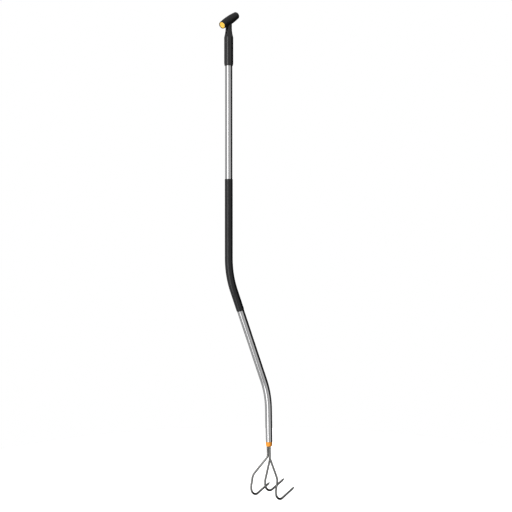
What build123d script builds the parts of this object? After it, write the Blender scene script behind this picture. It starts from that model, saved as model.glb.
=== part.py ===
from build123d import *
import os
from math import cos, sin, radians

# Long-handled three-tine garden cultivator with a bent tube and a T-grip.
# +Z runs up the shaft and +X is the way the tine points look. The origin is on the axis of the
# upper tube, at the middle of the moulded barrel that a tool-rack clip holds.

# ---- driving dimensions, mm ----
tube_od = 24.0
tube_wall = 1.2
tube_top = 38.0            # tube end inside the barrel
upper_bend_z = -746.0      # corner of the upper bend, before rounding
lower_bend_x = 212.5       # corner of the lower bend
lower_bend_z = -1168.0
bend_radius = 240.0
tube_end_x = 216.6         # open lower end of the tube
tube_end_z = -1335.0

sleeve_wall = 1.0
sleeve_top = -426.0
sleeve_end_run = 133.0     # length of the sleeve below the upper bend's corner

barrel_d = 30.0
barrel_low = -50.0
barrel_mouth_d = 26.6
barrel_taper = 12.0        # length of the softened lower end
barrel_shoulder = 45.0
shoulder_round = 6.0
neck_d = 20.8
neck_waist = (11.9, 0, 58.5)   # point on the hollow flare
neck_root = 74.0
neck_top = 104.0

bar_x = 3.5                # middle of the T-bar
bar_z = 102.2
bar_tilt = 31.4            # degrees, nose up
bar_length = 87.0
bar_rear_d = 23.8
bar_mid_d = 29.0
bar_front_d = 23.4
bar_front_round = 3.6
core_d = 18.0
core_rear_gap = 3.0        # skin past the core at each end
core_front_gap = 7.0
tang_d = 12.0
tang_low = 50.0

disc_d = 21.0
disc_thick = 2.4
disc_recess = 0.6          # disc face below the rim
stub_d = 9.0
stub_length = 9.0

screw_heights = (58.0, 70.0)
screw_head_d = 5.4
screw_head_high = 1.7
screw_head_round = 0.7
screw_shank_d = 2.8
screw_seat_x = -7.6        # floor of each counterbore
screw_tip_x = 2.5
counterbore_d = 6.2
cross_slot = 0.9

rivet_head_d = 7.0
rivet_head_high = 1.5
rivet_dome = 1.3           # rise of the domed part of the head
rivet_shank_d = 4.0
socket_rivet_z = -28.0
sunk_seat_x = 13.5         # pocket floor in the barrel's wall
sunk_pocket_d = 7.6
set_end_x = 7.5            # swelled end of the rivet inside the tube
set_end_d = 6.2
set_end_gap = 0.7
plug_rivet_up = 36.0       # above the tube's lower end
plug_rivet_x = 1.0         # inner end of its shank

collar_high = 16.5
collar_top_d = 23.2
collar_low_d = 21.2
collar_round = 2.6
plug_deep = 44.0

rod_d = 7.2
rod_in = 28.0              # rod inside the plug
outer_stem_x = -3.8
outer_stem_y = 4.1
middle_stem_x = 3.4
tine_spread = 110.0        # between the outer points
outer_neck_drop = 53.5
middle_neck_drop = 63.0
knee_back = 25.0
knee_drop = 121.0
hook_back = 49.5
outer_hook_drop = 207.2
middle_hook_drop = 192.7
hook_rise = 18.5           # degrees, slope of the straight run to the point
outer_run = 126.3
middle_run = 141.3
neck_radius = 16.0
middle_neck_radius = 30.0
knee_radius = 34.0
hook_radius = 28.5
middle_hook_radius = 31.5
blade_length = 28.0

# ---- worked out from the above ----
tube_r = tube_od / 2
bore_r = tube_r - tube_wall
bar_frame = Location((bar_x, 0, bar_z), (0, -bar_tilt, 0))
upper_corner = Vector(0, 0, upper_bend_z)
lower_corner = Vector(lower_bend_x, 0, lower_bend_z)
tube_end = Vector(tube_end_x, 0, tube_end_z)
lean = (tube_end - lower_corner).get_angle(Vector(0, 0, -1))
head_frame = Location(tuple(tube_end), (0, -lean, 0))
on_end = (Align.CENTER, Align.CENTER, Align.MIN)
stems = [(outer_stem_x, outer_stem_y), (outer_stem_x, -outer_stem_y), (middle_stem_x, 0)]


def x_rod(start, end, radius):
    """Cylinder along +X."""
    return Pos(start, 0, 0) * Rot(0, 90, 0) * Cylinder(radius, end - start, align=on_end)


def upright(radius, low, high):
    return Pos(0, 0, low) * Cylinder(radius, high - low, align=on_end)


def revolve_x(*edges):
    """Turn a closed outline in the XZ plane (z is the radius) about the X axis."""
    return revolve(make_face(Wire(edges)), Axis.X)


def round_bar(path, radius):
    return sweep(Plane(path @ 0, z_dir=path % 0) * Circle(radius), path=path)


def ring_along(path, outer, inner):
    """Pipe with a true bore, swept along a path of straight runs and arcs."""
    start = Plane(path @ 0, z_dir=path % 0)
    return sweep(start * (Circle(outer) - Circle(inner)), path=path)


# ---- shaft ----
def handle_tube():
    path = FilletPolyline(
        (0, 0, tube_top),
        tuple(upper_corner),
        tuple(lower_corner),
        tuple(tube_end),
        radius=bend_radius,
    )
    tube = ring_along(path, tube_r, bore_r)
    return tube - socket_rivet_hole() - plug_rivet_hole()


def hand_sleeve():
    down = (lower_corner - upper_corner).normalized()
    path = FilletPolyline(
        (0, 0, sleeve_top),
        tuple(upper_corner),
        tuple(upper_corner + down * sleeve_end_run),
        radius=bend_radius,
    )
    return ring_along(path, tube_r + sleeve_wall, tube_r)


# ---- T-grip ----
def bar_outside():
    """Whole outside of the T-bar: a long barrel shape, blunt behind and rounded in front."""
    half = bar_length / 2
    side = ThreePointArc(
        (-half, 0, bar_rear_d / 2),
        (-4, 0, bar_mid_d / 2),
        (half, 0, bar_front_d / 2),
    )
    outline = [
        Line((-half, 0, 0), (-half, 0, bar_rear_d / 2)),
        side,
        Line((half, 0, bar_front_d / 2), (half, 0, 0)),
        Line((half, 0, 0), (-half, 0, 0)),
    ]
    body = revolve_x(*outline)
    ends = body.edges().filter_by(GeomType.CIRCLE).sort_by(Axis.X)
    body = fillet(ends[-1], bar_front_round)
    ends = body.edges().filter_by(GeomType.CIRCLE).sort_by(Axis.X)
    return bar_frame * fillet(ends[0], 1.2)


def end_disc():
    """Snap-in disc: a slightly domed face on a round stub, in the bar's own frame."""
    face_x = -bar_length / 2 + disc_recess
    back_x = face_x + disc_thick
    rim = disc_d / 2
    outline = [
        ThreePointArc((face_x, 0, 0), (face_x + 0.25, 0, rim * 0.55), (face_x + 0.8, 0, rim)),
        Line((face_x + 0.8, 0, rim), (back_x, 0, rim)),
        Line((back_x, 0, rim), (back_x, 0, stub_d / 2)),
        Line((back_x, 0, stub_d / 2), (back_x + stub_length, 0, stub_d / 2)),
        Line((back_x + stub_length, 0, stub_d / 2), (back_x + stub_length, 0, 0)),
        Line((back_x + stub_length, 0, 0), (face_x, 0, 0)),
    ]
    return bar_frame * revolve_x(*outline)


def disc_pocket():
    face_x = -bar_length / 2
    return bar_frame * x_rod(face_x - 5, face_x + disc_recess + disc_thick, disc_d / 2)


def core_blank():
    """Stiff rod through the T-bar with the tang that goes down into the neck."""
    rear = -bar_length / 2 + core_rear_gap
    front = bar_length / 2 - core_front_gap
    return bar_frame * x_rod(rear, front, core_d / 2) + upright(tang_d / 2, tang_low, bar_z)


def t_bar_core():
    return core_blank() - end_disc() - screw_bodies()


def t_bar_grip():
    return bar_outside() - core_blank() - disc_pocket()


def grip_socket():
    """Moulded barrel on the tube, with a flared neck cut to the T-bar above it."""
    barrel_r = barrel_d / 2
    mouth = (barrel_mouth_d / 2, 0, barrel_low)
    taper_top = (barrel_r, 0, barrel_low + barrel_taper)
    shoulder = (barrel_r, 0, barrel_shoulder)
    outline = [
        Line((0, 0, barrel_low), mouth),
        TangentArc(taper_top, mouth, tangent=(0, 0, -1)),
        Line(taper_top, shoulder),
        ThreePointArc(shoulder, neck_waist, (neck_d / 2, 0, neck_root)),
        Line((neck_d / 2, 0, neck_root), (neck_d / 2, 0, neck_top)),
        Line((neck_d / 2, 0, neck_top), (0, 0, neck_top)),
        Line((0, 0, neck_top), (0, 0, barrel_low)),
    ]
    body = revolve(make_face(Wire(outline)), Axis.Z)
    rims = body.edges().filter_by(GeomType.CIRCLE)
    body = fillet(rims.sort_by(lambda e: abs(e.center().Z - barrel_shoulder))[0], shoulder_round)
    body = body - upright(tube_r, barrel_low, tube_top) - upright(tang_d / 2, tang_low, neck_top)
    body = body - bar_outside() - socket_rivet_hole()
    for height in screw_heights:
        body -= Pos(0, 0, height) * x_rod(-30, screw_seat_x, counterbore_d / 2)
        body -= Pos(0, 0, height) * x_rod(-30, 0, screw_shank_d / 2)
    return body


def screw_bodies():
    """Two pan-head screws that pin the T-bar's tang in the neck, driven from behind."""
    head = Cylinder(screw_head_d / 2, screw_head_high, align=on_end)
    head = fillet(head.edges().filter_by(GeomType.CIRCLE).sort_by(Axis.Z)[-1], screw_head_round)
    slot = Pos(0, 0, screw_head_high) * Box(screw_head_d * 0.6, cross_slot, 1.6)
    head = head - slot - Rot(0, 0, 90) * slot
    shank = x_rod(screw_seat_x, screw_tip_x, screw_shank_d / 2)
    screw = Pos(screw_seat_x, 0, 0) * Rot(0, -90, 0) * head + shank
    return [Pos(0, 0, height) * screw for height in screw_heights]


def neck_screws():
    return Compound(children=screw_bodies())


# ---- rivets ----
def blind_rivet(shank_start, seat, crown):
    """Rivet along +X with a domed head from seat to crown."""
    head_r = rivet_head_d / 2
    dome_r = (head_r ** 2 + rivet_dome ** 2) / (2 * rivet_dome)
    dome = Pos(crown - dome_r, 0, 0) * Rot(0, 90, 0) * Sphere(dome_r)
    head = dome & x_rod(seat, crown + 1, head_r)
    return head + x_rod(shank_start, seat + 0.4, rivet_shank_d / 2)


def socket_rivet_hole():
    """Cross hole through the tube wall and barrel, with a pocket that sinks the head."""
    pocket = x_rod(sunk_seat_x, 30, sunk_pocket_d / 2)
    return Pos(0, 0, socket_rivet_z) * (x_rod(0, 30, rivet_shank_d / 2) + pocket)


def plug_rivet_hole():
    return head_frame * Pos(0, 0, plug_rivet_up) * x_rod(0, 30, rivet_shank_d / 2)


def socket_rivet():
    set_end = x_rod(set_end_x, bore_r - set_end_gap, set_end_d / 2)
    rivet = blind_rivet(set_end_x, sunk_seat_x, sunk_seat_x + rivet_head_high - 0.1)
    return Pos(0, 0, socket_rivet_z) * (rivet + set_end)


def plug_rivet():
    """Its head is saddled on the round tube."""
    rivet = blind_rivet(plug_rivet_x, tube_r - 1, tube_r + rivet_head_high) - Cylinder(tube_r, 20)
    shank = x_rod(plug_rivet_x, tube_r + 0.4, rivet_shank_d / 2)
    return head_frame * Pos(0, 0, plug_rivet_up) * (rivet + shank)


# ---- tine head, in the frame of the tube's lower end ----
def tine_socket():
    """Moulded collar under the tube's end, in one piece with the plug inside the tube."""
    outline = [
        Line((0, 0, -collar_high), (collar_low_d / 2, 0, -collar_high)),
        Line((collar_low_d / 2, 0, -collar_high), (collar_top_d / 2, 0, 0)),
        Line((collar_top_d / 2, 0, 0), (bore_r, 0, 0)),
        Line((bore_r, 0, 0), (bore_r, 0, plug_deep)),
        Line((bore_r, 0, plug_deep), (0, 0, plug_deep)),
        Line((0, 0, plug_deep), (0, 0, -collar_high)),
    ]
    body = revolve(make_face(Wire(outline)), Axis.Z)
    rims = body.edges().filter_by(GeomType.CIRCLE).sort_by(Axis.Z)
    body = fillet(rims[0], collar_round)
    for x, y in stems:
        body -= Pos(x, y, 0) * upright(rod_d / 2, -collar_high, rod_in)
    body -= Pos(0, 0, plug_rivet_up) * x_rod(plug_rivet_x, 30, rivet_shank_d / 2)
    return head_frame * body


def blade(root, direction):
    """Forged point: round at the root, then wide and flat, then drawn to a tip."""
    side = Vector(0, 1, 0)
    stations = ((0.0, 3.6, 3.6), (8.0, 4.7, 3.0), (18.0, 4.1, 2.3), (blade_length, 0.8, 0.7))
    sections = []
    for reach, half_width, half_thick in stations:
        plane = Plane(root + direction * reach, x_dir=side, z_dir=direction)
        sections.append(plane * Ellipse(half_width, half_thick))
    return loft(sections)


def tine(points, radii, run):
    """Round rod through the corner points, with a forged blade at its end."""
    corner = points[-1]
    direction = Vector(cos(radians(hook_rise)), 0, sin(radians(hook_rise)))
    root = corner + direction * (run - blade_length)
    path = FilletPolyline(*[tuple(p) for p in points], tuple(root), radius=radii)
    rod = round_bar(path, rod_d / 2)
    return head_frame * (rod + blade(root, direction))


def outer_tine(side):
    stem_y = side * outer_stem_y
    point_y = side * tine_spread / 2
    points = [
        Vector(outer_stem_x, stem_y, rod_in),
        Vector(outer_stem_x, stem_y, -outer_neck_drop),
        Vector(-knee_back, point_y, -knee_drop),
        Vector(-hook_back, point_y, -outer_hook_drop),
    ]
    return tine(points, [neck_radius, knee_radius, hook_radius], outer_run)


def middle_tine():
    points = [
        Vector(middle_stem_x, 0, rod_in),
        Vector(middle_stem_x, 0, -middle_neck_drop),
        Vector(-hook_back, 0, -middle_hook_drop),
    ]
    return tine(points, [middle_neck_radius, middle_hook_radius], middle_run)


def main():
    os.makedirs("parts", exist_ok=True)
    nodes = {
        "handle_tube": handle_tube(),
        "hand_sleeve": hand_sleeve(),
        "grip_socket": grip_socket(),
        "t_bar_core": t_bar_core(),
        "t_bar_grip": t_bar_grip(),
        "end_disc": end_disc(),
        "neck_screws": neck_screws(),
        "socket_rivet": socket_rivet(),
        "tine_socket": tine_socket(),
        "plug_rivet": plug_rivet(),
        "tine_left": outer_tine(1),
        "tine_right": outer_tine(-1),
        "tine_middle": middle_tine(),
    }
    for name, shape in nodes.items():
        export_step(shape, f"parts/{name}.step")


main()
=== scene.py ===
from math import atan2, ceil, cos, pi, radians, sin, tan

import bmesh
import bpy
from mathutils import Matrix, Vector


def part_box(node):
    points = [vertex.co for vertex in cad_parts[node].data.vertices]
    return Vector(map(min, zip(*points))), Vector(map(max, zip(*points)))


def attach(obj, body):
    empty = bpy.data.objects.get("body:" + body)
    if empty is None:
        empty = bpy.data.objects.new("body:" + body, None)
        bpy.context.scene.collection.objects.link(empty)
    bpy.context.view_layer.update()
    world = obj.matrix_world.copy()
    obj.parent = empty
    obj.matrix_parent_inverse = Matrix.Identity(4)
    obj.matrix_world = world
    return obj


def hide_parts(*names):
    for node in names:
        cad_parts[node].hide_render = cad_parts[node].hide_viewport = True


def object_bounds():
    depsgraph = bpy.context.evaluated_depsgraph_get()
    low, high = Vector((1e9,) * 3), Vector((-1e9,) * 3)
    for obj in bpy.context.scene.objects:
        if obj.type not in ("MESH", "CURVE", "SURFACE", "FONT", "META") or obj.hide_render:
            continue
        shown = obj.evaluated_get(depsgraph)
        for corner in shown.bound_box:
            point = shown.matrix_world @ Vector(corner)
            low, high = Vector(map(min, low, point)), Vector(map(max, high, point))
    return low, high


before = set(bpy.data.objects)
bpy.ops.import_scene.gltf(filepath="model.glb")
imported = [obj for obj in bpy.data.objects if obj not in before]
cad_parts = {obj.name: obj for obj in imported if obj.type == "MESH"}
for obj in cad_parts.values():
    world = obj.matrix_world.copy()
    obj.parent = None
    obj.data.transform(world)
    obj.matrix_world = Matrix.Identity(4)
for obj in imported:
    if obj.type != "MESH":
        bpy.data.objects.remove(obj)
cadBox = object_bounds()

cadLow, cadHigh = cadBox
mm = 0.001
near = 1e-5   # two places closer than this are one (metres)
print("frame loaded:", len(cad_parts), "CAD nodes")


class Wire:
    # one shader socket; sums on it add Math nodes
    def __init__(self, tree, socket):
        self.tree = tree
        self.socket = socket

    def node(self, kind, settings, inputs, out=0):
        made = self.tree.nodes.new(kind)
        for key, value in settings.items():
            if key == "stops":
                ramp = made.color_ramp.elements
                ramp.remove(ramp[1])
                ramp[0].position, ramp[0].color = value[0]
                for place, colour in value[1:]:
                    ramp.new(place).color = colour
            else:
                setattr(made, key, value)
        for key, value in inputs.items():
            if isinstance(value, Wire):
                self.tree.links.new(value.socket, made.inputs[key])
            else:
                made.inputs[key].default_value = value
        return Wire(self.tree, made.outputs[out])

    def sums(self, operation, a, b):
        return self.node("ShaderNodeMath", {"operation": operation}, {0: a, 1: b})

    def __add__(self, other):
        return self.sums("ADD", self, other)

    def __radd__(self, other):
        return self.sums("ADD", other, self)

    def __sub__(self, other):
        return self.sums("SUBTRACT", self, other)

    def __rsub__(self, other):
        return self.sums("SUBTRACT", other, self)

    def __mul__(self, other):
        return self.sums("MULTIPLY", self, other)

    def __rmul__(self, other):
        return self.sums("MULTIPLY", other, self)

    def stretched(self, scale):
        # the same coordinates, scaled per axis
        return self.node("ShaderNodeVectorMath", {"operation": "MULTIPLY"}, {0: self, 1: scale})

    def noise(self, scale, detail=3.0, rough=0.5):
        return self.node("ShaderNodeTexNoise", {"noise_dimensions": "3D"},
                         {"Vector": self, "Scale": scale, "Detail": detail, "Roughness": rough})

    def band(self, low, high):
        # 0 below low, 1 above high, smooth between
        return self.node("ShaderNodeMapRange", {"interpolation_type": "SMOOTHSTEP"},
                         {"Value": self, "From Min": low, "From Max": high})

    def tint(self, dark, light):
        # a colour between two, by this value
        return self.node("ShaderNodeMix", {"data_type": "RGBA"},
                         {"Factor": self, 6: (*dark, 1), 7: (*light, 1)}, out=2)


def startMaterial(name, fixed):
    # a Principled material; fixed holds the sockets that are the same all over
    material = bpy.data.materials.new(name)
    material.use_nodes = True
    tree = material.node_tree
    shader = tree.nodes["Principled BSDF"]
    for key, value in fixed.items():
        shader.inputs[key].default_value = value
    return material, Wire(tree, None), shader


def feed(shader, wire, socketName):
    wire.tree.links.new(wire.socket, shader.inputs[socketName])


def relief(maker, shader, height, depth):
    bump = maker.node("ShaderNodeBump", {}, {"Height": height, "Distance": depth, "Strength": 1.0})
    feed(shader, bump, "Normal")


aluminiumLook = {
    "dark": (0.60, 0.60, 0.61),
    "light": (0.70, 0.70, 0.70),
    "rough": 0.16,
    "roughSpread": 0.06,
    "lines": (1100, 1100, 6),
    "bands": (330, 330, 0.8),
    "clouds": 35.0,
    "depth": 0.0005 * mm,
}


def drawnAluminium():
    # fine draw lines run the length of the tube, over broader die bands
    material, maker, shader = startMaterial("drawn_aluminium", {"Metallic": 1.0})
    straight = maker.node("ShaderNodeAttribute", {"attribute_name": "straight"}, {}, out=1)
    lines = straight.stretched(aluminiumLook["lines"]).noise(1.0, 2.0)
    bands = straight.stretched(aluminiumLook["bands"]).noise(1.0, 1.0)
    clouds = straight.noise(aluminiumLook["clouds"], 3.0)
    tone = 0.25 * lines + 0.5 * bands + 0.25 * clouds
    feed(shader, tone.band(0.25, 0.75).tint(aluminiumLook["dark"], aluminiumLook["light"]), "Base Color")
    spread = aluminiumLook["roughSpread"]
    feed(shader, aluminiumLook["rough"] + spread * lines + spread * clouds - 0.04, "Roughness")
    relief(maker, shader, lines, aluminiumLook["depth"])
    return material


steelLook = {
    "dark": (0.20, 0.20, 0.195),
    "light": (0.42, 0.42, 0.41),
    "rough": 0.21,
    "marks": (3200, 3200, 60),
    "patches": (160, 160, 50),
    "depth": 0.002 * mm,
}


def groundSteel():
    # satin rod with lengthwise grinding marks and a few darker mill patches
    material, maker, shader = startMaterial("ground_steel", {"Metallic": 1.0})
    straight = maker.node("ShaderNodeAttribute", {"attribute_name": "straight"}, {}, out=1)
    marks = straight.stretched(steelLook["marks"]).noise(1.0, 3.0)
    patches = straight.stretched(steelLook["patches"]).noise(1.0, 4.0, 0.6)
    tone = 0.45 * marks + 0.55 * patches
    feed(shader, tone.band(0.3, 0.68).tint(steelLook["dark"], steelLook["light"]), "Base Color")
    feed(shader, steelLook["rough"] + 0.10 * patches + 0.06 * marks - 0.06, "Roughness")
    relief(maker, shader, marks + 0.6 * patches, steelLook["depth"])
    return material


def blackMoulding(name, look):
    # moulded black: fine surface grain, slow gloss patches and a dusting of handling marks
    material, maker, shader = startMaterial(name, {"Specular IOR Level": look["shine"]})
    place = maker.node("ShaderNodeTexCoord", {}, {}, out=3)
    grain = place.noise(look["grain"], 2.0, 0.6)
    patches = place.noise(look["patches"], 3.0)
    marks = place.stretched((1.0, 1.0, 0.18)).noise(look["marks"], 4.0, 0.65).band(0.58, 0.75)
    tone = 0.35 * grain + 0.5 * patches + 0.3 * marks
    feed(shader, tone.band(0.2, 0.8).tint(look["dark"], look["light"]), "Base Color")
    feed(shader, look["rough"] + 0.12 * patches + 0.08 * marks - 0.06, "Roughness")
    relief(maker, shader, grain, look["depth"])
    return material


sleeveLook = {
    "dark": (0.006, 0.006, 0.007),
    "light": (0.013, 0.013, 0.014),
    "rough": 0.33,
    "shine": 0.75,
    "grain": 1400.0,
    "patches": 18.0,
    "marks": 90.0,
    "depth": 0.002 * mm,
}
socketLook = {
    "dark": (0.004, 0.004, 0.004),
    "light": (0.010, 0.010, 0.011),
    "rough": 0.25,
    "shine": 1.0,
    "grain": 1800.0,
    "patches": 45.0,
    "marks": 160.0,
    "depth": 0.0015 * mm,
}
gripLook = {
    "dark": (0.013, 0.013, 0.013),
    "light": (0.026, 0.026, 0.027),
    "rough": 0.46,
    "shine": 0.5,
    "grain": 1300.0,
    "patches": 60.0,
    "marks": 200.0,
    "depth": 0.02 * mm,
}
coreLook = {
    "dark": (0.010, 0.010, 0.010),
    "light": (0.020, 0.020, 0.020),
    "rough": 0.5,
    "shine": 0.4,
    "grain": 900.0,
    "patches": 70.0,
    "marks": 240.0,
    "depth": 0.01 * mm,
}

collarLook = {
    "dark": (0.60, 0.225, 0.012),
    "light": (0.73, 0.30, 0.025),
    "rough": 0.30,
    "flow": 120.0,
    "grain": 2200.0,
    "depth": 0.006 * mm,
}
# the end disc is a paler, yellower copy of the collar's orange moulding; the extra paleness is painted
# highlight for the brighter light that falls on the disc
highlitDiscLook = {
    "dark": (0.62, 0.38, 0.050),
    "light": (0.78, 0.52, 0.110),
    "rough": 0.26,
    "flow": 120.0,
    "grain": 2200.0,
    "depth": 0.005 * mm,
}


def orangePlastic(name, look):
    # solid orange moulding: slight flow streaks and a fine even texture
    material, maker, shader = startMaterial(name, {})
    place = maker.node("ShaderNodeTexCoord", {}, {}, out=3)
    flow = place.stretched((1.0, 1.0, 0.35)).noise(look["flow"], 4.0, 0.6)
    grain = place.noise(look["grain"], 2.0)
    feed(shader, (0.7 * flow + 0.3 * grain).band(0.3, 0.7).tint(look["dark"], look["light"]), "Base Color")
    feed(shader, look["rough"] + 0.14 * flow - 0.04, "Roughness")
    relief(maker, shader, grain + 0.5 * flow, look["depth"])
    return material


rivetLook = {
    "dark": (0.50, 0.50, 0.51),
    "light": (0.72, 0.72, 0.72),
    "rough": 0.25,
    "pits": 1900.0,
    "patches": 420.0,
    "depth": 0.004 * mm,
}
screwLook = {
    "dark": (0.020, 0.020, 0.020),
    "light": (0.060, 0.060, 0.060),
    "rough": 0.38,
    "pits": 1900.0,
    "patches": 420.0,
    "depth": 0.004 * mm,
}


def plainMetal(name, look):
    # small fasteners: tumbled metal with fine pits
    material, maker, shader = startMaterial(name, {"Metallic": 1.0})
    place = maker.node("ShaderNodeTexCoord", {}, {}, out=3)
    pits = place.noise(look["pits"], 3.0, 0.6)
    patches = place.noise(look["patches"], 2.0)
    feed(shader, (0.5 * pits + 0.5 * patches).band(0.3, 0.7).tint(look["dark"], look["light"]), "Base Color")
    feed(shader, look["rough"] + 0.15 * pits, "Roughness")
    relief(maker, shader, pits, look["depth"])
    return material


tubeFinish = drawnAluminium()
tineFinish = groundSteel()
sleeveFinish = blackMoulding("sleeve_rubber", sleeveLook)
socketFinish = blackMoulding("socket_nylon", socketLook)
gripFinish = blackMoulding("soft_grip", gripLook)
coreFinish = blackMoulding("core_nylon", coreLook)
collarFinish = orangePlastic("collar_moulding", collarLook)
# the disc finish carries painted highlight in its paler, yellower base colour
highlitDiscFinish = orangePlastic("disc_moulding_highlit", highlitDiscLook)
rivetFinish = plainMetal("rivet_aluminium", rivetLook)
screwFinish = plainMetal("blackened_steel", screwLook)
print("finishes made")


def newRing(geometry):
    # the vertices of an extruded ring and the edges that join them
    verts = [g for g in geometry if isinstance(g, bmesh.types.BMVert)]
    fresh = set(verts)
    edges = [g for g in geometry if isinstance(g, bmesh.types.BMEdge) and set(g.verts) <= fresh]
    return verts, edges


class Sweep:
    # carries a ring along straights and bends; "straight" keeps each point's place on the unbent rod
    def __init__(self, start, direction, radius, sides):
        self.bm = bmesh.new()
        self.layer = self.bm.verts.layers.float_vector.new("straight")
        self.place = Vector(start)
        self.way = Vector(direction).normalized()
        self.run = 0.0
        turned = Matrix.Translation(self.place) @ self.way.to_track_quat("Z", "Y").to_matrix().to_4x4()
        made = bmesh.ops.create_circle(self.bm, cap_ends=False, radius=radius, segments=sides, matrix=turned)
        self.verts = made["verts"]
        self.edges = list(self.bm.edges)
        for vert in self.verts:
            local = turned.inverted() @ vert.co
            vert[self.layer] = (local.x, local.y, 0.0)

    def step(self, length):
        made = bmesh.ops.extrude_edge_only(self.bm, edges=self.edges)
        self.verts, self.edges = newRing(made["geom"])
        self.run += length
        for vert in self.verts:
            vert[self.layer].z = self.run

    def push(self, length):
        self.step(length)
        bmesh.ops.translate(self.bm, verts=self.verts, vec=self.way * length)
        self.place += self.way * length

    def bend(self, newWay, radius, stepAngle):
        turn = self.way.angle(newWay)
        inward = (newWay - self.way * cos(turn)) / sin(turn)
        centre = self.place + inward * radius
        axis = self.way.cross(newWay).normalized()
        steps = ceil(turn / stepAngle)
        part = Matrix.Rotation(turn / steps, 3, axis)
        for _ in range(steps):
            self.step(radius * turn / steps)
            bmesh.ops.rotate(self.bm, verts=self.verts, cent=centre, matrix=part)
        self.place = centre + Matrix.Rotation(turn, 3, axis) @ (self.place - centre)
        self.way = newWay

    def follow(self, corners, radii, stepAngle):
        # corners after the start; each but the last is rounded by its radius
        for corner, after, radius in zip(corners, corners[1:], radii):
            newWay = (after - corner).normalized()
            cut = radius * tan(self.way.angle(newWay) / 2)
            self.push((corner - self.place).length - cut)
            self.bend(newWay, radius, stepAngle)

    def resize(self, side, wide, thick, wasWide, wasThick):
        # changes the ring's half sizes across side and across the third direction
        space = Matrix((side, self.way.cross(side), self.way)).to_4x4()
        bmesh.ops.scale(self.bm, verts=self.verts, vec=(wide / wasWide, thick / wasThick, 1.0),
                        space=space @ Matrix.Translation(-self.place))


def lathe(stations, sides, matrix):
    # turns an open outline of (height, radius) stations about Z, then places it
    bm = bmesh.new()
    verts = [bm.verts.new((radius, 0.0, height)) for height, radius in stations]
    edges = [bm.edges.new(pair) for pair in zip(verts, verts[1:])]
    bmesh.ops.spin(bm, geom=verts + edges, cent=(0, 0, 0), axis=(0, 0, 1), dvec=(0, 0, 0),
                   angle=2 * pi, steps=sides, use_merge=True, use_duplicate=False)
    bmesh.ops.remove_doubles(bm, verts=bm.verts, dist=1e-6)
    bmesh.ops.recalc_face_normals(bm, faces=bm.faces)
    bmesh.ops.transform(bm, matrix=matrix, verts=bm.verts)
    return bm


def softenRings(bm, matrix, rings):
    # rounds the circular edges at the given (height, radius, offset, segments)
    back = matrix.inverted()
    for height, radius, offset, segments in rings:
        loop = []
        for edge in bm.edges:
            ends = [back @ v.co for v in edge.verts]
            if all(abs(p.z - height) < near and abs(p.xy.length - radius) < near for p in ends):
                loop.append(edge)
        bmesh.ops.bevel(bm, geom=loop, offset=offset, segments=segments, profile=0.5,
                        affect="EDGES", material=-1, clamp_overlap=True)


def makePiece(bm, name, finish, replaced, sharpAngle=35):
    mesh = bpy.data.meshes.new(name)
    bm.to_mesh(mesh)
    bm.free()
    mesh.materials.append(finish)
    mesh.shade_smooth()
    mesh.set_sharp_from_angle(angle=radians(sharpAngle))
    piece = bpy.data.objects.new(name, mesh)
    bpy.context.scene.collection.objects.link(piece)
    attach(piece, "root")
    if replaced:
        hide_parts(*replaced)
    return piece


def softenEdges(piece, width, segments=3, angle=55):
    # a live bevel on every edge sharper than the angle
    soft = piece.modifiers.new("softened", "BEVEL")
    soft.width = width
    soft.segments = segments
    soft.limit_method = "ANGLE"
    soft.angle_limit = radians(angle)
    soft.use_clamp_overlap = True


def closeEnds(bm):
    rim = [edge for edge in bm.edges if edge.is_boundary]
    bmesh.ops.holes_fill(bm, edges=rim, sides=0)
    bmesh.ops.recalc_face_normals(bm, faces=bm.faces)


shaft = {
    "radius": 12.0 * mm,
    "wall": 1.2 * mm,
    "upperCorner": (0.0, 0.0, -746.0 * mm),
    "lowerCorner": (212.5 * mm, 0.0, -1168.0 * mm),
    "end": (216.6 * mm, 0.0, -1335.0 * mm),
    "bend": 240.0 * mm,
    "edge": 0.3 * mm,
    "sides": 64,
    "bendStep": 2.0,
}
shaftTop = Vector((0, 0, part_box("handle_tube")[1].z))
upperCorner = Vector(shaft["upperCorner"])
lowerCorner = Vector(shaft["lowerCorner"])
tubeEnd = Vector(shaft["end"])
lowerWay = (tubeEnd - lowerCorner).normalized()
headMatrix = Matrix.Translation(tubeEnd) @ Matrix.Rotation(-atan2(lowerWay.x, -lowerWay.z), 4, "Y")


def makeTube():
    sweep = Sweep(shaftTop, (0, 0, -1), shaft["radius"], shaft["sides"])
    sweep.follow([upperCorner, lowerCorner, tubeEnd], [shaft["bend"]] * 2, radians(shaft["bendStep"]))
    sweep.push((tubeEnd - sweep.place).length)
    bmesh.ops.recalc_face_normals(sweep.bm, faces=sweep.bm.faces)
    bmesh.ops.solidify(sweep.bm, geom=sweep.bm.faces[:], thickness=shaft["wall"])
    piece = makePiece(sweep.bm, "shaft_tube", tubeFinish, ["handle_tube"])
    softenEdges(piece, shaft["edge"])


sleeve = {"wall": 1.0 * mm, "top": -426.0 * mm, "belowCorner": 133.0 * mm, "lip": 0.45 * mm}


def makeSleeve():
    down = (lowerCorner - upperCorner).normalized()
    outer = shaft["radius"] + sleeve["wall"]
    sweep = Sweep((0, 0, sleeve["top"]), (0, 0, -1), outer, shaft["sides"])
    end = upperCorner + down * sleeve["belowCorner"]
    sweep.follow([upperCorner, end], [shaft["bend"]], radians(shaft["bendStep"]))
    sweep.push((end - sweep.place).length)
    bm = sweep.bm
    bmesh.ops.recalc_face_normals(bm, faces=bm.faces)
    bmesh.ops.solidify(bm, geom=bm.faces[:], thickness=sleeve["wall"])
    piece = makePiece(bm, "hand_sleeve_skin", sleeveFinish, ["hand_sleeve"])
    softenEdges(piece, sleeve["lip"])


makeTube()
makeSleeve()
print("shaft and sleeve made")


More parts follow.
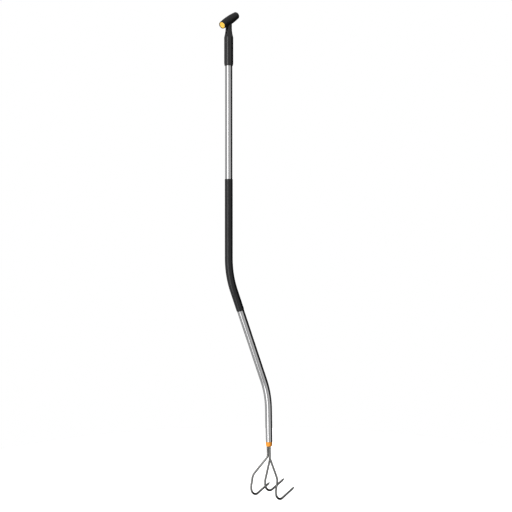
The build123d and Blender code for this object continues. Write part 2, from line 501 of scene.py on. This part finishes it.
def archThrough(first, middle, last, count):
    # (height, radius) stations on the circle through three of them
    a, b, c = Vector(first), Vector(middle), Vector(last)
    toB, toC = b - a, c - a
    twice = 2 * (toB.x * toC.y - toB.y * toC.x)
    sideways = Vector((toC.y * toB.length_squared - toB.y * toC.length_squared,
                       toB.x * toC.length_squared - toC.x * toB.length_squared)) / twice
    centre = a + sideways
    start, stop = atan2(a.y - centre.y, a.x - centre.x), atan2(c.y - centre.y, c.x - centre.x)
    if stop - start > pi:
        stop -= 2 * pi
    if start - stop > pi:
        stop += 2 * pi
    size = sideways.length
    turns = [start + (stop - start) * i / count for i in range(count + 1)]
    return [(centre.x + size * cos(turn), centre.y + size * sin(turn)) for turn in turns]


def carve(piece, cutter, sharpAngle=35):
    # takes the cutter bmesh out of a finished piece
    mesh = bpy.data.meshes.new("cutter")
    cutter.to_mesh(mesh)
    cutter.free()
    tool = bpy.data.objects.new("cutter", mesh)
    bpy.context.scene.collection.objects.link(tool)
    cut = piece.modifiers.new("cut", "BOOLEAN")
    cut.object = tool
    cut.solver = "EXACT"
    bpy.context.view_layer.update()
    graph = bpy.context.evaluated_depsgraph_get()
    carved = bpy.data.meshes.new_from_object(piece.evaluated_get(graph))
    piece.modifiers.remove(cut)
    piece.data = carved
    carved.shade_smooth()
    carved.set_sharp_from_angle(angle=radians(sharpAngle))
    bpy.data.objects.remove(tool)


def addDrill(bm, matrix, radius, low, high, sides=40):
    # a plug along the matrix's Z from low to high, for carving
    middle = matrix @ Matrix.Translation((0, 0, (low + high) / 2))
    bmesh.ops.create_cone(bm, cap_ends=True, cap_tris=False, segments=sides, radius1=radius,
                          radius2=radius, depth=high - low, matrix=middle)


socket = {
    "bore": 12.0 * mm,
    "boreTop": 38.0 * mm,
    "low": -50.0 * mm,
    "mouth": 13.3 * mm,
    "taperTop": -38.0 * mm,
    "radius": 15.0 * mm,
    "shoulder": 45.0 * mm,
    "waist": (58.5 * mm, 11.9 * mm),
    "neckRoot": 74.0 * mm,
    "neckRadius": 10.4 * mm,
    "neckTop": 104.0 * mm,
    "screwHeights": (58.0 * mm, 70.0 * mm),
    "screwSeat": -7.6 * mm,
    "counterbore": 3.1 * mm,
    "rivetHeight": -28.0 * mm,
    "pocketSeat": 13.5 * mm,
    "pocket": 3.8 * mm,
    "drillReach": 30.0 * mm,
    "mouthRound": 0.5 * mm,
    "shoulderRound": 1.3 * mm,
    "edge": 0.3 * mm,
    "sides": 96,
}
bar = {
    "place": (3.5 * mm, 0.0, 102.2 * mm),
    "tilt": 31.4,
    "half": 43.5 * mm,
    "rear": 11.9 * mm,
    "middle": 14.5 * mm,
    "middleAt": -4.0 * mm,
    "front": 11.6 * mm,
    "frontRound": 3.6 * mm,
    "pocket": 10.5 * mm,
    "pocketFloor": -40.5 * mm,
    "core": 9.0 * mm,
    "coreFront": 36.5 * mm,
    "rearRound": 1.1 * mm,
    "pocketRound": 0.3 * mm,
    "sides": 112,
}
barMatrix = Matrix.Translation(bar["place"]) @ Matrix.Rotation(radians(90 - bar["tilt"]), 4, "Y")
alongX = Matrix.Rotation(radians(90), 4, "Y")


def makeSocket():
    radius, low, taperTop = socket["radius"], socket["low"], socket["taperTop"]
    drop = radius - socket["mouth"]
    bow = (drop ** 2 + (taperTop - low) ** 2) / (2 * drop)
    half = (low + taperTop) / 2
    halfway = radius - bow + (bow ** 2 - (half - taperTop) ** 2) ** 0.5
    outline = [(socket["boreTop"], 0.0), (socket["boreTop"], socket["bore"]), (low, socket["bore"])]
    outline += archThrough((low, socket["mouth"]), (half, halfway), (taperTop, radius), 8)
    outline += [(0.0, radius)]
    outline += archThrough((socket["shoulder"], radius), socket["waist"],
                           (socket["neckRoot"], socket["neckRadius"]), 12)
    outline += [(socket["neckTop"], socket["neckRadius"]), (socket["neckTop"], 0.0)]
    upright = Matrix.Identity(4)
    bm = lathe(outline, socket["sides"], upright)
    softenRings(bm, upright, [(low, socket["mouth"], socket["mouthRound"], 3),
                              (socket["shoulder"], radius, socket["shoulderRound"], 5)])
    piece = makePiece(bm, "barrel_and_neck", socketFinish, ["grip_socket"])
    drills = bmesh.new()
    for height in socket["screwHeights"]:
        place = Matrix.Translation((0, 0, height)) @ alongX
        addDrill(drills, place, socket["counterbore"], -socket["drillReach"], socket["screwSeat"])
    place = Matrix.Translation((0, 0, socket["rivetHeight"])) @ alongX
    addDrill(drills, place, socket["pocket"], socket["pocketSeat"], socket["drillReach"])
    carve(piece, drills)
    softenEdges(piece, socket["edge"])


def makeBar():
    half = bar["half"]
    outline = [(bar["coreFront"], 0.0), (bar["coreFront"], bar["core"]), (bar["pocketFloor"], bar["core"])]
    outline += [(bar["pocketFloor"], bar["pocket"]), (-half, bar["pocket"])]
    outline += archThrough((-half, bar["rear"]), (bar["middleAt"], bar["middle"]), (half, bar["front"]), 30)
    outline += [(half, 0.0)]
    bm = lathe(outline, bar["sides"], barMatrix)
    softenRings(bm, barMatrix, [(-half, bar["rear"], bar["rearRound"], 4),
                                (-half, bar["pocket"], bar["pocketRound"], 2),
                                (half, bar["front"], bar["frontRound"], 10)])
    makePiece(bm, "t_bar_skin", gripFinish, ["t_bar_grip"])


disc = {
    "face": -42.9 * mm,
    "dome": 0.55 * mm,
    "radius": 10.15 * mm,
    "back": -40.5 * mm,
    "stub": 4.5 * mm,
    "stubEnd": -31.5 * mm,
    "edge": 0.8 * mm,
    "sides": 96,
}


def makeDisc():
    face, edgeAt = disc["face"], disc["face"] + disc["dome"]
    outline = archThrough((face, 0.0), (face + 0.25 * disc["dome"], disc["radius"] / 2),
                          (edgeAt, disc["radius"]), 12)
    outline += [(disc["back"], disc["radius"]), (disc["back"], disc["stub"])]
    outline += [(disc["stubEnd"], disc["stub"]), (disc["stubEnd"], 0.0)]
    bm = lathe(outline, disc["sides"], barMatrix)
    softenRings(bm, barMatrix, [(edgeAt, disc["radius"], disc["edge"], 4)])
    makePiece(bm, "end_disc_cap", highlitDiscFinish, ["end_disc"])


makeSocket()
makeBar()
makeDisc()
print("grip made")

collar = {
    "high": 16.5 * mm,
    "top": 11.6 * mm,
    "low": 10.6 * mm,
    "round": 2.6 * mm,
    "edge": 0.35 * mm,
    "plug": 10.8 * mm,
    "plugDeep": 44.0 * mm,
    "rimGap": 0.4 * mm,
    "rimDeep": 1.2 * mm,
    "drillReach": 5.0 * mm,
    "sides": 96,
}
rod = {
    "radius": 3.6 * mm,
    "inside": 28.0 * mm,
    "outerStem": (-3.8 * mm, 4.1 * mm),
    "middleStem": (3.4 * mm, 0.0),
    "halfSpread": 55.0 * mm,
    "outerNeck": -53.5 * mm,
    "middleNeck": -63.0 * mm,
    "knee": (-25.0 * mm, -121.0 * mm),
    "hookBack": -49.5 * mm,
    "outerHook": -207.2 * mm,
    "middleHook": -192.7 * mm,
    "rise": 18.5,
    "outerRun": 126.3 * mm,
    "middleRun": 141.3 * mm,
    "outerBends": (16.0 * mm, 34.0 * mm, 28.5 * mm),
    "middleBends": (30.0 * mm, 31.5 * mm),
    "blade": 28.0 * mm,
    "sides": 32,
    "bendStep": 5.0,
    "creaseAngle": 16,
}
# the forged point: how far past the blade's root, half width, half thickness (mm)
bladeStations = [
    (3.0, 3.7, 3.5), (8.0, 4.2, 3.35), (13.0, 4.55, 3.15), (18.0, 4.65, 2.95), (21.5, 4.4, 2.75),
    (24.0, 3.7, 2.55), (26.0, 2.7, 2.35), (27.3, 1.6, 2.15), (28.0, 0.7, 1.95),
]
# ground faces of the point: height of the cut at the tip (mm), -1 under or 1 on top,
# lean along the blade, lean across it (degrees)
bladeFaces = [(1.25, -1, 17.0, 22.0), (1.25, -1, 17.0, -22.0), (1.75, 1, 4.0, 14.0), (1.75, 1, 4.0, -14.0)]


def makeCollar():
    outline = [(-collar["high"], 0.0), (-collar["high"], collar["low"]), (0.0, collar["top"]),
               (0.0, collar["plug"]), (collar["plugDeep"], collar["plug"]), (collar["plugDeep"], 0.0)]
    bm = lathe(outline, collar["sides"], headMatrix)
    softenRings(bm, headMatrix, [(-collar["high"], collar["low"], collar["round"], 8),
                                 (0.0, collar["top"], collar["edge"], 3)])
    piece = makePiece(bm, "tine_collar", collarFinish, ["tine_socket"])
    drills = bmesh.new()
    outerX, outerY = rod["outerStem"]
    for x, y in ((outerX, outerY), (outerX, -outerY), rod["middleStem"]):
        place = headMatrix @ Matrix.Translation((x, y, 0))
        addDrill(drills, place, rod["radius"] + collar["rimGap"],
                 -collar["high"] - collar["drillReach"], -collar["high"] + collar["rimDeep"])
    carve(piece, drills)


def grindPoint(bm, tip, way, across):
    # cuts flat faces that meet in a ridge down the middle of the blade
    above = across.cross(way) * -1
    for height, side, lean, tilt in bladeFaces:
        outward = (Matrix.Rotation(radians(tilt), 3, way) @ (above * side)).normalized()
        outward = (outward * cos(radians(lean)) + way * sin(radians(lean))).normalized()
        blade = {vert for vert in bm.verts if (vert.co - tip).length < rod["blade"]}
        faces = [face for face in bm.faces if blade.issuperset(face.verts)]
        edges = {edge for face in faces for edge in face.edges}
        verts = {vert for face in faces for vert in face.verts}
        bmesh.ops.bisect_plane(bm, geom=list(verts) + list(edges) + faces, dist=1e-7,
                               plane_co=tip + above * height * mm, plane_no=outward,
                               clear_outer=True)
        closeEnds(bm)


def makeTine(name, replaced, points, radii, run):
    rise = radians(rod["rise"])
    forward = Vector((cos(rise), 0, sin(rise)))
    corners = [headMatrix @ Vector(point) for point in points]
    root = headMatrix @ (Vector(points[-1]) + forward * (run - rod["blade"]))
    sweep = Sweep(corners[0], corners[1] - corners[0], rod["radius"], rod["sides"])
    sweep.follow(corners[1:] + [root], radii, radians(rod["bendStep"]))
    sweep.push((root - sweep.place).length)
    across, wide, thick, reached = Vector((0, 1, 0)), rod["radius"], rod["radius"], 0.0
    for reach, halfWide, halfThick in bladeStations:
        sweep.push((reach - reached) * mm)
        sweep.resize(across, halfWide * mm, halfThick * mm, wide, thick)
        wide, thick, reached = halfWide * mm, halfThick * mm, reach
    closeEnds(sweep.bm)
    grindPoint(sweep.bm, sweep.place, sweep.way, across)
    makePiece(sweep.bm, name, tineFinish, [replaced], rod["creaseAngle"])


def outerPoints(side):
    stemX, stemY = rod["outerStem"][0], side * rod["outerStem"][1]
    spread = side * rod["halfSpread"]
    return [(stemX, stemY, rod["inside"]), (stemX, stemY, rod["outerNeck"]),
            (rod["knee"][0], spread, rod["knee"][1]), (rod["hookBack"], spread, rod["outerHook"])]


makeCollar()
makeTine("tine_rod_left", "tine_left", outerPoints(1), rod["outerBends"], rod["outerRun"])
makeTine("tine_rod_right", "tine_right", outerPoints(-1), rod["outerBends"], rod["outerRun"])
stemX, stemY = rod["middleStem"]
middlePoints = [(stemX, stemY, rod["inside"]), (stemX, stemY, rod["middleNeck"]),
                (rod["hookBack"], 0, rod["middleHook"])]
makeTine("tine_rod_middle", "tine_middle", middlePoints, rod["middleBends"], rod["middleRun"])
print("tine head made")

# CAD pieces that keep their shape
keptNodes = {
    "t_bar_core": coreFinish,
    "neck_screws": screwFinish,
    "socket_rivet": rivetFinish,
    "plug_rivet": rivetFinish,
}
for node, finish in keptNodes.items():
    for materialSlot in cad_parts[node].material_slots:
        materialSlot.material = finish

camera = {
    "azimuth": -51.0,
    "tilt": 0.8,
    "distance": 3.502,
    "lens": 71.7,
    "sensor": 36.0,
    "aimRight": 7.2 * mm,
    "aimUp": 14.9 * mm,
}


def makeCamera():
    centre = (cadLow + cadHigh) / 2
    turn, tilt = radians(camera["azimuth"]), radians(camera["tilt"])
    back = Vector((sin(turn) * cos(tilt), -cos(turn) * cos(tilt), sin(tilt)))
    right = Vector((cos(turn), sin(turn), 0))
    aim = centre + right * camera["aimRight"] + Vector((0, 0, camera["aimUp"]))
    data = bpy.data.cameras.new("camera")
    data.lens = camera["lens"]
    data.sensor_width = camera["sensor"]
    made = bpy.data.objects.new("camera", data)
    made.location = aim + back * camera["distance"]
    made.rotation_euler = (-back).to_track_quat("-Z", "Y").to_euler()
    bpy.context.scene.collection.objects.link(made)
    bpy.context.scene.camera = made


# light level by direction: degrees round the object from -Y towards +X, and strength
studio = {
    "around": [
        (-180, 0.40), (-168, 0.50), (-156, 0.78), (-140, 0.70), (-125, 0.45), (-112, 0.60), (-98, 0.90),
        (-90, 1.6), (-86, 3.2), (-76, 3.2), (-70, 1.3), (-62, 0.62), (-52, 0.46), (-42, 0.52), (-22, 0.66),
        (0, 0.76), (15, 0.66), (24, 0.28), (30, 0.02), (128, 0.02), (145, 0.34), (180, 0.40),
    ],
    "rampTop": 4.0,
    "top": 0.62,
    "topFrom": 0.18,
    "topFull": 0.62,
    "under": 0.03,
    "underFrom": -0.72,
    "underFull": -0.90,
}


def makeStudio():
    world = bpy.data.worlds.new("studio")
    world.use_nodes = True
    bpy.context.scene.world = world
    maker = Wire(world.node_tree, None)
    way = maker.node("ShaderNodeTexCoord", {}, {}, out=0)
    axes = [maker.node("ShaderNodeSeparateXYZ", {}, {"Vector": way}, out=i) for i in range(3)]
    turn = maker.sums("ARCTAN2", axes[0], 0.0 - axes[1])
    # the ramp holds levels up to 1, so they are divided by its top and multiplied back
    most = studio["rampTop"]
    stops = [((degrees + 180) / 360, (level / most, level / most, level / most, 1))
             for degrees, level in studio["around"]]
    around = maker.node("ShaderNodeValToRGB", {"stops": stops}, {"Fac": turn * (1 / (2 * pi)) + 0.5})
    raised = axes[2].band(studio["topFrom"], studio["topFull"])
    lowered = (0.0 - axes[2]).band(-studio["underFrom"], -studio["underFull"])
    level = most * around * (1.0 - raised) * (1.0 - lowered)
    level = level + studio["top"] * raised + studio["under"] * lowered
    seen = maker.node("ShaderNodeLightPath", {}, {}, out=0)
    shown = level * (1.0 - seen) + seen
    background = world.node_tree.nodes["Background"]
    background.inputs["Color"].default_value = (1, 1, 1, 1)
    world.node_tree.links.new(shown.socket, background.inputs["Strength"])


# soft lights that only lift plain colour: where each stands, how wide, how strong
fills = {
    "front_fill": {"azimuth": -100.0, "height": 12.0, "spread": 50.0, "strength": 1.7},
    "low_fill": {"azimuth": -92.0, "height": -35.0, "spread": 60.0, "strength": 1.2},
    "back_fill": {"azimuth": 115.0, "height": 15.0, "spread": 60.0, "strength": 1.1},
}


def makeFills():
    for name, look in fills.items():
        turn, height = radians(look["azimuth"]), radians(look["height"])
        back = Vector((sin(turn) * cos(height), -cos(turn) * cos(height), sin(height)))
        data = bpy.data.lights.new(name, "SUN")
        data.angle = radians(look["spread"])
        data.energy = look["strength"]
        made = bpy.data.objects.new(name, data)
        made.rotation_euler = back.to_track_quat("Z", "Y").to_euler()
        made.visible_glossy = False
        bpy.context.scene.collection.objects.link(made)


floorLook = {"radius": 1.4, "glow": 0.75, "colour": (0.8, 0.8, 0.8, 1), "drop": 0.2 * mm}


def makeFloor():
    bm = bmesh.new()
    bmesh.ops.create_circle(bm, cap_ends=True, radius=floorLook["radius"], segments=128)
    mesh = bpy.data.meshes.new("floor")
    bm.to_mesh(mesh)
    bm.free()
    floor = bpy.data.objects.new("floor", mesh)
    floor.location = (*((cadLow + cadHigh) / 2).xy, cadLow.z - floorLook["drop"])
    bpy.context.scene.collection.objects.link(floor)
    fixed = {"Base Color": floorLook["colour"], "Roughness": 1.0, "Specular IOR Level": 0.0,
             "Emission Color": (1, 1, 1, 1), "Emission Strength": floorLook["glow"]}
    mesh.materials.append(startMaterial("pale_floor", fixed)[0])
    floor.visible_glossy = False
    floor.visible_diffuse = False
    floor.visible_shadow = False


makeCamera()
makeStudio()
makeFills()
makeFloor()
display = bpy.context.scene.view_settings
display.view_transform = "Standard"
display.gamma = 0.84
print("camera, light and floor set")
